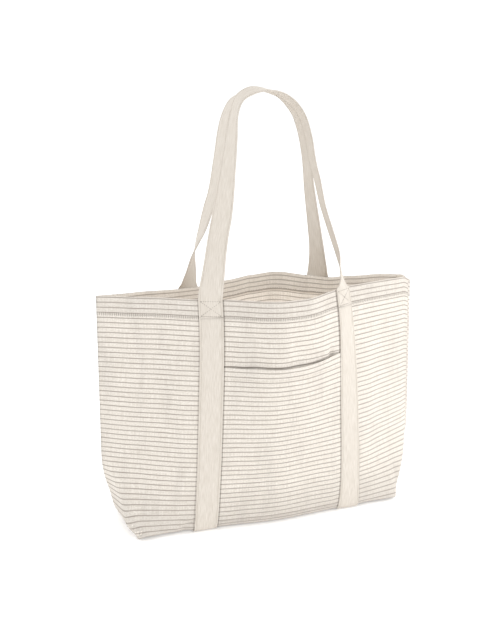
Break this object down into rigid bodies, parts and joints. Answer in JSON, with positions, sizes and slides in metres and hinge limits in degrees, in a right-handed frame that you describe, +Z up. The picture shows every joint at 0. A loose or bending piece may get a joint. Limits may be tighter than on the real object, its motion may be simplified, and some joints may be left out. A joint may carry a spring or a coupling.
{
  "type": "canvas tote bag",
  "caption": "Open-top striped canvas tote bag with a boxed base, a front patch pocket and webbing straps that rise into carrying handles.",
  "frame": {"origin": "bottom centre of the standing bag's box, on the floor under the straps", "axes": "+X along the bag's width, -Y out of the front with the pocket, +Z up"},
  "size_m": [0.5544, 0.2162, 0.696],
  "materials": {
    "striped_canvas": "undyed plain-weave cotton canvas with thin grey-brown woven stripes about 8 mm apart",
    "canvas_seam": "overlocked raw edges of the same canvas",
    "webbing": "plain undyed cotton canvas folded to a flat strap, matt",
    "thread": "undyed cotton sewing thread"
  },
  "bodies": {
    "bag": {"front_panel": "striped_canvas", "back_panel": "striped_canvas", "front_rim_hem": "striped_canvas", "back_rim_hem": "striped_canvas", "base_panel": "striped_canvas", "front_pocket": "striped_canvas", "pocket_hem": "striped_canvas", "bottom_seam": "canvas_seam", "left_side_seam": "canvas_seam", "right_side_seam": "canvas_seam", "left_corner_seam": "canvas_seam", "right_corner_seam": "canvas_seam", "left_strap": "webbing", "right_strap": "webbing", "front_left_stitch_box": "thread", "front_right_stitch_box": "thread", "back_left_stitch_box": "thread", "back_right_stitch_box": "thread"},
    "front_handle": {"front_handle": "webbing"},
    "back_handle": {"back_handle": "webbing"}
  },
  "joints": [
    {"name": "front_handle_fold", "type": "hinge", "parent": "bag", "child": "front_handle", "pos_m": [0, -0.05529, 0.38], "axis": [1, 0, 0], "range_deg": [0, 155]},
    {"name": "back_handle_fold", "type": "hinge", "parent": "bag", "child": "back_handle", "pos_m": [0, 0.06551, 0.38], "axis": [-1, 0, 0], "range_deg": [0, 155]}
  ]
}
